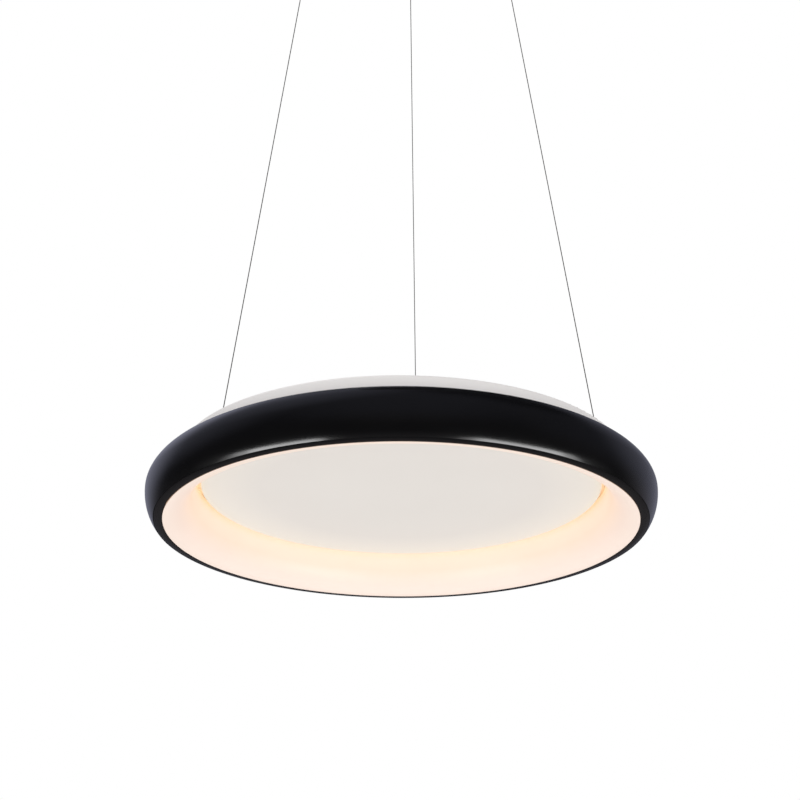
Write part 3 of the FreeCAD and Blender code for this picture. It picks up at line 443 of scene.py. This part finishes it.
shader.inputs["Emission Color"].default_value = (1.0, 0.72, 0.42, 1)
shader.inputs["Emission Strength"].default_value = 2.0
print("glowing finishes", [m.name for m in (reflector_white, disc_coat, rim_shade_and_glow, lit_sheet,
                                            phosphor)])

# %% [markdown]
# ## The three wires
#
# Each wire is a taut steel rope, 1.2 mm thick. Its line is a NURBS curve from the gripper under
# the canopy to the ferrule on the lamp. A rope isn't a smooth rod: six bundles of strands lie
# round a core. So the mesh has a section with six lobes, which turns as it goes along the line,
# and that gives the fine slanted pattern on it. It is one closed mesh per wire, and the wire
# shortens when the lamp is raised.

# %% Helper that reads points along a straight or curved line
def line_points(name, points, count):
    """Points read from a NURBS curve through the given control points."""
    curve = bpy.data.curves.new(name, "CURVE")
    curve.dimensions = "3D"
    curve.resolution_u = count
    spline = curve.splines.new("NURBS")
    spline.points.add(len(points) - 1)
    for point, where in zip(spline.points, points):
        point.co = (*where, 1)
    spline.order_u = 3
    spline.use_endpoint_u = True
    guide = bpy.data.objects.new(name, curve)
    bpy.context.collection.objects.link(guide)
    depsgraph = bpy.context.evaluated_depsgraph_get()
    mesh = bpy.data.meshes.new_from_object(guide.evaluated_get(depsgraph))
    found = [vertex.co.copy() for vertex in mesh.vertices]
    bpy.data.objects.remove(guide)
    bpy.data.meshes.remove(mesh)
    return found


# %% Helper that makes a new piece from points and faces
def new_piece(name, points, faces, body, materials, smooth):
    """Mesh object that rides on a body, smooth but with sharp edges over an angle."""
    mesh = bpy.data.meshes.new(name)
    mesh.from_pydata(points, [], faces)
    mesh.validate()
    mesh.polygons.foreach_set("use_smooth", [True] * len(mesh.polygons))
    if smooth < 180:
        mesh.set_sharp_from_angle(angle=math.radians(smooth))
    for material in materials:
        mesh.materials.append(material)
    piece = bpy.data.objects.new(name, mesh)
    bpy.context.collection.objects.link(piece)
    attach(piece, body)
    return piece


# %% Helper for the faces of a closed tube
def tube_faces(rings, corners):
    """Faces between rings of points that follow each other, with a flat cap at each end."""
    sides = [(corners * i + k, corners * i + (k + 1) % corners,
              corners * (i + 1) + (k + 1) % corners, corners * (i + 1) + k)
             for i in range(rings - 1) for k in range(corners)]
    last = corners * (rings - 1)
    return sides + [tuple(range(corners))[::-1], tuple(range(last, last + corners))]


# %% Wires
rope_radius = 0.6 * MM
valley_share = 0.8
rope_pitch = 9 * MM
rope_steps = 420
lobes = 6
for side, azimuth in wire_azimuths.items():
    top = spot(wire_top_radius, azimuth, wire_top)
    foot = spot(anchor_radius, azimuth, wire_foot)
    route = [top, top.lerp(foot, 0.08), top.lerp(foot, 0.5), top.lerp(foot, 0.92), foot]
    along = line_points("guide_" + side, route, rope_steps)
    across = (foot - top).cross(Vector((0, 0, 1))).normalized()
    outward = across.cross((foot - top).normalized())
    walked = np.cumsum([0] + [(b - a).length for a, b in zip(along, along[1:])])
    points = []
    for centre, length in zip(along, walked):
        twist = 2 * math.pi * length / rope_pitch
        for corner in range(2 * lobes):
            turn = math.pi * corner / lobes + twist
            radius = rope_radius * (1 if corner % 2 else valley_share)
            points.append(centre + across * radius * math.cos(turn)
                          + outward * radius * math.sin(turn))
    faces = tube_faces(len(along), 2 * lobes)
    rope = new_piece("rope_" + side, points, faces, "swing_" + side, [rope_steel], 180)
    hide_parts("wire_" + side)
    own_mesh(rope)
    print(rope.name, "points", len(points), "length", round(walked[-1], 4))

# %% [markdown]
# ## The springs in the grippers
#
# Each wire is held in its gripper by three balls in a cone, and a small spring presses them
# down. In the CAD model it is a plain tube that keeps the spring's space. Here it is wound from
# round wire, as a real one is: a helix whose first and last turns lie close, so that it stands
# flat. It shortens when the plunger is pressed.

# %% Coil springs
spring_wire = 0.7 * MM
coil_radius = 3.1 * MM - spring_wire / 2
spring_low, spring_high = -42.3 * MM, -30.5 * MM
coil_turns, turn_steps, wire_corners = 8, 28, 8
coil_height = spring_high - spring_low - spring_wire
for side, azimuth in wire_azimuths.items():
    middle = spot(wire_top_radius, azimuth, spring_low + spring_wire / 2)
    points = []
    for step in range(coil_turns * turn_steps + 1):
        turned = step / turn_steps
        rise = float(np.interp(turned, [0, 1, coil_turns - 1, coil_turns],
                               [0, spring_wire, coil_height - spring_wire, coil_height]))
        outward = Vector((math.cos(2 * math.pi * turned), math.sin(2 * math.pi * turned), 0))
        centre = middle + outward * coil_radius + Vector((0, 0, rise))
        for corner in range(wire_corners):
            turn = 2 * math.pi * corner / wire_corners
            points.append(centre + outward * (spring_wire / 2 * math.cos(turn))
                          + Vector((0, 0, spring_wire / 2 * math.sin(turn))))
    coil = new_piece("coil_" + side, points,
                     tube_faces(coil_turns * turn_steps + 1, wire_corners), "ceiling",
                     [zinc_steel], 60)
    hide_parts("gripper_spring_" + side)
    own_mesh(coil)
    print(coil.name, "turns", coil_turns, "height",
          round((spring_high - spring_low) / MM, 1), "mm")

# %% [markdown]
# ## The spun shells
#
# The ring, the reflector and the disc are sheet metal, spun round the light's axis. A lathe makes
# them here: half a section is drawn as a list of radius and height, and it is swept round in
# small steps. The CAD solids have sharp corners and coarser facets, so these finer shells
# replace them, with the small radii that real sheet has at its folds. Each keeps within the
# light's outline. The top cover and the canopy are spun too, but their solids look right, so they
# stay.

# %% Helper for a section's rounded corners
def soft_section(corners, steps=5):
    """Closed section with rounded corners. A corner is (radius, height) or has a third value,
    the size of its rounding, all in millimetres."""
    section = []
    count = len(corners)
    for index, corner in enumerate(corners):
        here = Vector(corner[:2])
        size = corner[2] if len(corner) > 2 else 0
        if not size:
            section.append(here)
            continue
        before = Vector(corners[index - 1][:2]) - here
        after = Vector(corners[(index + 1) % count][:2]) - here
        cut = min(size, before.length * 0.49, after.length * 0.49)
        first = here + before.normalized() * cut
        last = here + after.normalized() * cut
        for step in range(steps + 1):
            t = step / steps
            section.append(first * (1 - t) ** 2 + here * 2 * t * (1 - t) + last * t ** 2)
    return section


# %% Helper that works as the lathe
lathe_steps = 288
sharp_over = 50


def lathe(name, section, body, materials, slots=None):
    """Turns a closed section round the light's axis. slots gives a material per section edge."""
    count = len(section)
    turns = np.linspace(0, 2 * math.pi, lathe_steps, endpoint=False)
    points = []
    rows = []
    for radius, height in section:
        z = level(height)
        if radius < 1e-6:
            rows.append([len(points)] * lathe_steps)
            points.append((0, 0, z))
        else:
            rows.append(list(range(len(points), len(points) + lathe_steps)))
            points += [(radius * MM * math.sin(turn), -radius * MM * math.cos(turn), z)
                       for turn in turns]
    faces = []
    face_slots = []
    for edge in range(count):
        low, high = rows[edge], rows[(edge + 1) % count]
        if low[0] == low[1] and high[0] == high[1]:
            continue
        for k in range(lathe_steps):
            after = (k + 1) % lathe_steps
            corners = [low[k], low[after], high[after], high[k]]
            faces.append(tuple(dict.fromkeys(corners)))
            face_slots.append(slots[edge] if slots else 0)
    piece = new_piece(name, points, faces, body, materials, sharp_over)
    piece.data.polygons.foreach_set("material_index", face_slots)
    print(name, "faces", len(faces))
    return piece


def arc(centre, radii, start, end, steps):
    """Points of an elliptical arc of a section, in millimetres and degrees."""
    angles = np.radians(np.linspace(start, end, steps + 1))
    return [(centre[0] + radii[0] * math.cos(a), centre[1] + radii[1] * math.sin(a))
            for a in angles]


# %% Ring: the ellipse, the crease with its fine groove, and the flat lip
crown, half_width, widest, ring_height = 270.6, 35.2, 34.6, 63.7
crease, lip_edge, lip_rise, wall = 294.2, 283.9, 0.8, 1.2
flange_edge, flange_low, fold = 259.0, 62.5, 0.3
cosine = (crease - crown) / half_width
low_half = (widest - lip_rise) / math.sqrt(1 - cosine * cosine)
high_half = ring_height - widest
start = -math.degrees(math.acos(cosine))
outer = (arc((crown, widest), (half_width, low_half), start, 0, 48)
         + arc((crown, widest), (half_width, high_half), 0, 90, 48)[1:])
inner = (arc((crown, widest), (half_width - wall, high_half - wall), 90, 0, 24)
         + arc((crown, widest), (half_width - wall, low_half - wall), 0, start - 1, 24)[1:])
lip = [(lip_edge, 0.35), (lip_edge + 0.15, 0.08), (lip_edge + 0.5, 0.0)]
groove = [(crease - 0.75, lip_rise - 0.05), (crease - 0.4, lip_rise + 0.25)]
flange = [(flange_edge + fold, ring_height), (flange_edge, ring_height - fold),
          (flange_edge, flange_low)]
rest = flange + inner + [(lip_edge, wall)]
ring_section = lip + groove + outer + rest
# The groove's faces take the darker, duller black of painted shade; the rest of the ring takes
# the black coat.
ring_slots = [0] * len(lip) + [1] * len(groove) + [0] * len(outer + rest)
ring_piece = lathe("spun_ring", ring_section, "lamp", [black_coat, crease_shade_black], ring_slots)
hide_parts("ring_shell")

# %% Reflector: a quarter ellipse, flat at the rim and upright at the throat
rim, throat, throat_height, sheet = 283.2, 247.4, 50.0, 1.0
flange_edge, flange_top, fold = 257.9, 56.4, 0.5
width = rim - throat
face = arc((rim, throat_height), (width, throat_height), -90, -180, 56)
back = arc((rim, throat_height), (width - sheet, throat_height - sheet), -180, -90, 32)
flange = [(throat, flange_top - fold), (throat + fold, flange_top), (flange_edge, flange_top),
          (flange_edge, flange_top - sheet), (throat + sheet, flange_top - sheet)]
reflector_section = face + flange + back
# The last edge of the section, the cut edge at the rim, takes the darker finish of painted shade
# and glow.
reflector_slots = [0] * (len(reflector_section) - 1) + [1]
reflector_piece = lathe("spun_reflector", reflector_section, "lamp",
                        [reflector_white, rim_shade_and_glow], reflector_slots)
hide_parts("reflector")

# %% Disc: flat below, with its rim turned up
disc_radius, disc_inside = 241.3, 240.1
disc_low, disc_floor, disc_top = 48.0, 49.5, 54.0
disc_section = soft_section([
    (0, disc_low), (200, disc_low), (disc_radius, disc_low, 1.4), (disc_radius, disc_top, 0.3),
    (disc_inside, disc_top, 0.3), (disc_inside, disc_floor), (0, disc_floor)])
disc_piece = lathe("spun_disc", disc_section, "lamp", [disc_coat])
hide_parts("centre_disc")

# %% [markdown]
# ## Finishes of the other pieces
#
# The top cover, the canopy, the screws, nuts, posts, bushes and blocks have the right shape in
# the CAD model already, so they stay and only get their finish. A table says which finish goes
# on which piece.

# %% Finishes of the CAD nodes
node_finish = {
    white_coat: ["top_cover"],
    black_coat: ["canopy_cover"],
    zinc_steel: ["reflector_pillars", "reflector_screws", "disc_pillars", "disc_screws",
                 "drum_screws", "anchor_posts", "anchor_nuts", "gripper_nuts",
                 "driver_nuts", "gripper_balls_left", "gripper_balls_right",
                 "gripper_balls_rear"],
    sheet_aluminium: ["led_drum"],
    lit_sheet: ["chassis_plate", "ring_straps"],
    strip_film: ["led_strip"],
    phosphor: ["led_chips"],
    blackened: ["ring_screws", "canopy_screws"],
    nylon: ["anchor_bushes", "gripper_bushes", "lamp_terminal_block",
            "mains_terminal_block"],
    nickel: ["anchor_caps", "gripper_bodies", "plunger_left", "plunger_right",
             "plunger_rear", "ferrule_left", "ferrule_right", "ferrule_rear"],
    bracket_steel: ["ceiling_bracket"],
    brass: ["earth_screw", "mains_terminal_screws"],
    rope_steel: ["wire_tails"],
    driver_plastic: ["led_driver"],
}
for material, nodes in node_finish.items():
    for node in nodes:
        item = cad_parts[node]
        if not item.data.materials:
            item.data.materials.append(material)
        for index in range(len(item.data.materials)):
            item.data.materials[index] = material
print("nodes with a finish", sum(len(nodes) for nodes in node_finish.values()))

# %% [markdown]
# ## The studio
#
# The light hangs in a plain white space. A white world gives soft even light from all round, a
# soft lamp in front adds a little to what faces it, and a wide floor of pale paint lies well
# below. The floor is white where the camera or a shiny surface sees it, so that its edge doesn't
# show against the world.
#
# The glossy black ring mirrors whatever stands round it, and in a white space it would look
# grey. So a tent of dark cloth surrounds the light, a little cool above and warm below, with soft
# pale patches where the ring has its soft gloss. Two low cards stand to the left and right in
# front and draw the long streaks along the ring's lower edge. Only shiny surfaces see the tent
# and the cards.

# %% World
world = bpy.data.worlds.new("studio")
bpy.context.scene.world = world
world.use_nodes = True
background = world.node_tree.nodes["Background"]
background.inputs["Color"].default_value = (1, 1, 1, 1)
background.inputs["Strength"].default_value = 1.0
print("world strength", background.inputs["Strength"].default_value)

# %% Floor: a wide round one, so that no corner of it shows
floor_level = -2.7
floor_radius = 40
floor_corners = 120
floor_mesh = bpy.data.meshes.new("floor")
floor_mesh.from_pydata([spot(floor_radius, 360 * k / floor_corners, floor_level)
                        for k in range(floor_corners)], [], [tuple(range(floor_corners))])
floor = bpy.data.objects.new("floor", floor_mesh)
bpy.context.collection.objects.link(floor)
floor_paint = finish("floor_paint", (0.91, 0.91, 0.91), (0.89, 0.89, 0.89), patch=0.6,
                     rough=(0.7, 0.8), specular=0.2, skin=0.004, bump=0.02)
floor_mesh.materials.append(floor_paint)
print("floor at", floor_level, "m")

# %% The floor looks white where it is seen, and lights the lamp as pale paint does
tree = floor_paint.node_tree
shader = tree.nodes["Principled BSDF"]
paint = shader.inputs["Base Color"].links[0].from_socket
rays = tree.nodes.new("ShaderNodeLightPath")
seen = tree.nodes.new("ShaderNodeMath")
seen.operation = "MAXIMUM"
seen_too = tree.nodes.new("ShaderNodeMath")
seen_too.operation = "MAXIMUM"
whitened = tree.nodes.new("ShaderNodeMix")
whitened.data_type = "RGBA"
whitened.inputs["B"].default_value = (1, 1, 1, 1)
join(tree,
     (rays.outputs["Is Camera Ray"], seen.inputs[0]),
     (rays.outputs["Is Glossy Ray"], seen.inputs[1]),
     (seen.outputs[0], seen_too.inputs[0]),
     (rays.outputs["Is Transmission Ray"], seen_too.inputs[1]),
     (seen_too.outputs[0], whitened.inputs["Factor"]),
     (paint, whitened.inputs["A"]),
     (whitened.outputs["Result"], shader.inputs["Base Color"]))
print("floor paint", floor_paint.name)

# %% Tent of dark cloth that only the shiny surfaces see
tent_radius = 1.62
tent_middle = (0, 0, level(30))
tent_rows, tent_turns = 24, 48
tent_points = [(0, 0, tent_radius)]
for row in range(1, tent_rows):
    lean = math.pi * row / tent_rows
    tent_points += [(tent_radius * math.sin(lean) * math.sin(2 * math.pi * k / tent_turns),
                     -tent_radius * math.sin(lean) * math.cos(2 * math.pi * k / tent_turns),
                     tent_radius * math.cos(lean)) for k in range(tent_turns)]
tent_points.append((0, 0, -tent_radius))
last_point = len(tent_points) - 1
tent_faces = []
for k in range(tent_turns):
    after = (k + 1) % tent_turns
    tent_faces.append((0, 1 + k, 1 + after))
    tent_faces += [(1 + row * tent_turns + k, 1 + row * tent_turns + after,
                    1 + (row - 1) * tent_turns + after, 1 + (row - 1) * tent_turns + k)
                   for row in range(1, tent_rows - 1)]
    low_row = 1 + (tent_rows - 2) * tent_turns
    tent_faces.append((low_row + k, last_point, low_row + after))
tent_mesh = bpy.data.meshes.new("tent")
tent_mesh.from_pydata(tent_points, [], tent_faces)
tent_mesh.polygons.foreach_set("use_smooth", [True] * len(tent_mesh.polygons))
tent = bpy.data.objects.new("tent", tent_mesh)
bpy.context.collection.objects.link(tent)
tent.location = tent_middle
tent.visible_camera = tent.visible_diffuse = tent.visible_shadow = False
tent.visible_transmission = False
print("tent faces", len(tent_faces))

# %% The tent's cloth: dark, with soft pale patches, each a direction, a half angle and a strength
cloth_dark = 0.02
pale_patches = [(-90, 48, 55, 0.27), (-132, 26, 36, 0.3), (0, 30, 55, 0.11), (125, 18, 42, 0.22),
                (75, 14, 40, 0.06), (0, -70, 38, 0.2), (180, -35, 80, 0.1)]
cloth = bpy.data.materials.new("tent_cloth")
cloth.use_nodes = True
tree = cloth.node_tree
shader = tree.nodes["Principled BSDF"]
shader.inputs["Roughness"].default_value = 0.9
shader.inputs["Specular IOR Level"].default_value = 0.0
shader.inputs["Base Color"].default_value = (0, 0, 0, 1)
place = tree.nodes.new("ShaderNodeTexCoord")
toward = tree.nodes.new("ShaderNodeVectorMath")
toward.operation = "NORMALIZE"
join(tree, (place.outputs["Object"], toward.inputs[0]))
sum_so_far = None
for azimuth, elevation, half_angle, brightness in pale_patches:
    aim = spot(1, azimuth, 0) * math.cos(math.radians(elevation))
    aim.z = math.sin(math.radians(elevation))
    near_aim = tree.nodes.new("ShaderNodeVectorMath")
    near_aim.operation = "DOT_PRODUCT"
    near_aim.inputs[1].default_value = aim
    soft_edge = tree.nodes.new("ShaderNodeMapRange")
    soft_edge.interpolation_type = "SMOOTHSTEP"
    soft_edge.inputs["From Min"].default_value = math.cos(math.radians(half_angle))
    soft_edge.inputs["To Max"].default_value = brightness
    total = tree.nodes.new("ShaderNodeMath")
    total.operation = "ADD"
    total.inputs[0].default_value = cloth_dark
    join(tree, (toward.outputs[0], near_aim.inputs[0]),
         (near_aim.outputs["Value"], soft_edge.inputs["Value"]),
         (soft_edge.outputs["Result"], total.inputs[1]))
    if sum_so_far:
        join(tree, (sum_so_far.outputs[0], total.inputs[0]))
    sum_so_far = total
print("pale patches on the tent", len(pale_patches))

# %% The cloth's tint: cool above, warm below
warm, cool = (0.91, 0.85, 0.89, 1), (1.0, 1.02, 1.3, 1)
parts_of_way = tree.nodes.new("ShaderNodeSeparateXYZ")
high_up = tree.nodes.new("ShaderNodeMapRange")
high_up.inputs["From Min"].default_value = -0.3
high_up.inputs["From Max"].default_value = 0.1
tint = tree.nodes.new("ShaderNodeMix")
tint.data_type = "RGBA"
tint.inputs["A"].default_value = warm
tint.inputs["B"].default_value = cool
tinted = tree.nodes.new("ShaderNodeVectorMath")
tinted.operation = "MULTIPLY"
join(tree, (toward.outputs[0], parts_of_way.inputs[0]),
     (parts_of_way.outputs["Z"], high_up.inputs["Value"]),
     (high_up.outputs["Result"], tint.inputs["Factor"]),
     (sum_so_far.outputs[0], tinted.inputs[0]),
     (tint.outputs["Result"], tinted.inputs[1]),
     (tinted.outputs[0], shader.inputs["Emission Color"]))
shader.inputs["Emission Strength"].default_value = 1.0
tent_mesh.materials.append(cloth)
print("tent cloth", cloth.name)


# %% Helper for a soft lamp
def soft_lamp(name, place, target, size, power, shine=False):
    """Rectangular lamp, which lights either the shiny or the dull side of the finishes."""
    data = bpy.data.lights.new(name, "AREA")
    data.shape = "RECTANGLE"
    data.size, data.size_y = size
    data.energy = power
    lamp = bpy.data.objects.new(name, data)
    bpy.context.collection.objects.link(lamp)
    lamp.location = place
    lamp.rotation_euler = (Vector(target) - Vector(place)).to_track_quat("-Z", "Y").to_euler()
    lamp.visible_diffuse = not shine
    lamp.visible_glossy = shine
    return lamp


# %% Two low cards for the streaks, in strips that get dimmer toward their ends
card_length, card_height, card_power = 0.86, 0.3, 8.2
card_light = card_power / (card_length * card_height)
card_turn = 27
card_strips = {
    "left": [(-0.40, 0.33, 1.0), (0.33, 0.52, 0.45), (0.52, 0.95, 0.13)],
    "right": [(-0.65, -0.43, 0.3), (-0.43, 0.43, 1.0), (0.43, 0.62, 0.45), (0.62, 1.0, 0.12)],
}
for side, name in ((-1, "left"), (1, "right")):
    card_spot = (side * 0.95, -0.605, level(-950))
    card_target = (side * 0.17, -0.24, level(10))
    for number, (near, far, share) in enumerate(card_strips[name]):
        size = (far - near, card_height)
        card = soft_lamp(f"card_{name}_{number}", card_spot, card_target, size,
                         card_light * share * size[0] * size[1], shine=True)
        card.rotation_euler.rotate_axis("Z", math.radians(side * card_turn))
        shift = Vector((side * (near + far) / 2, 0, 0))
        card.location += card.rotation_euler.to_matrix() @ shift
    print("card", name, "strips", len(card_strips[name]))

# %% A soft lamp in front, which only the dull surfaces see
front = soft_lamp("front", place=(0, -2.8, level(-1000)), target=(0, 0, level(30)),
                  size=(1.8, 1.2), power=12)
print(front.name, [round(x, 2) for x in front.location])

# %% The colour view, and the end
bpy.context.scene.view_settings.view_transform = "Standard"
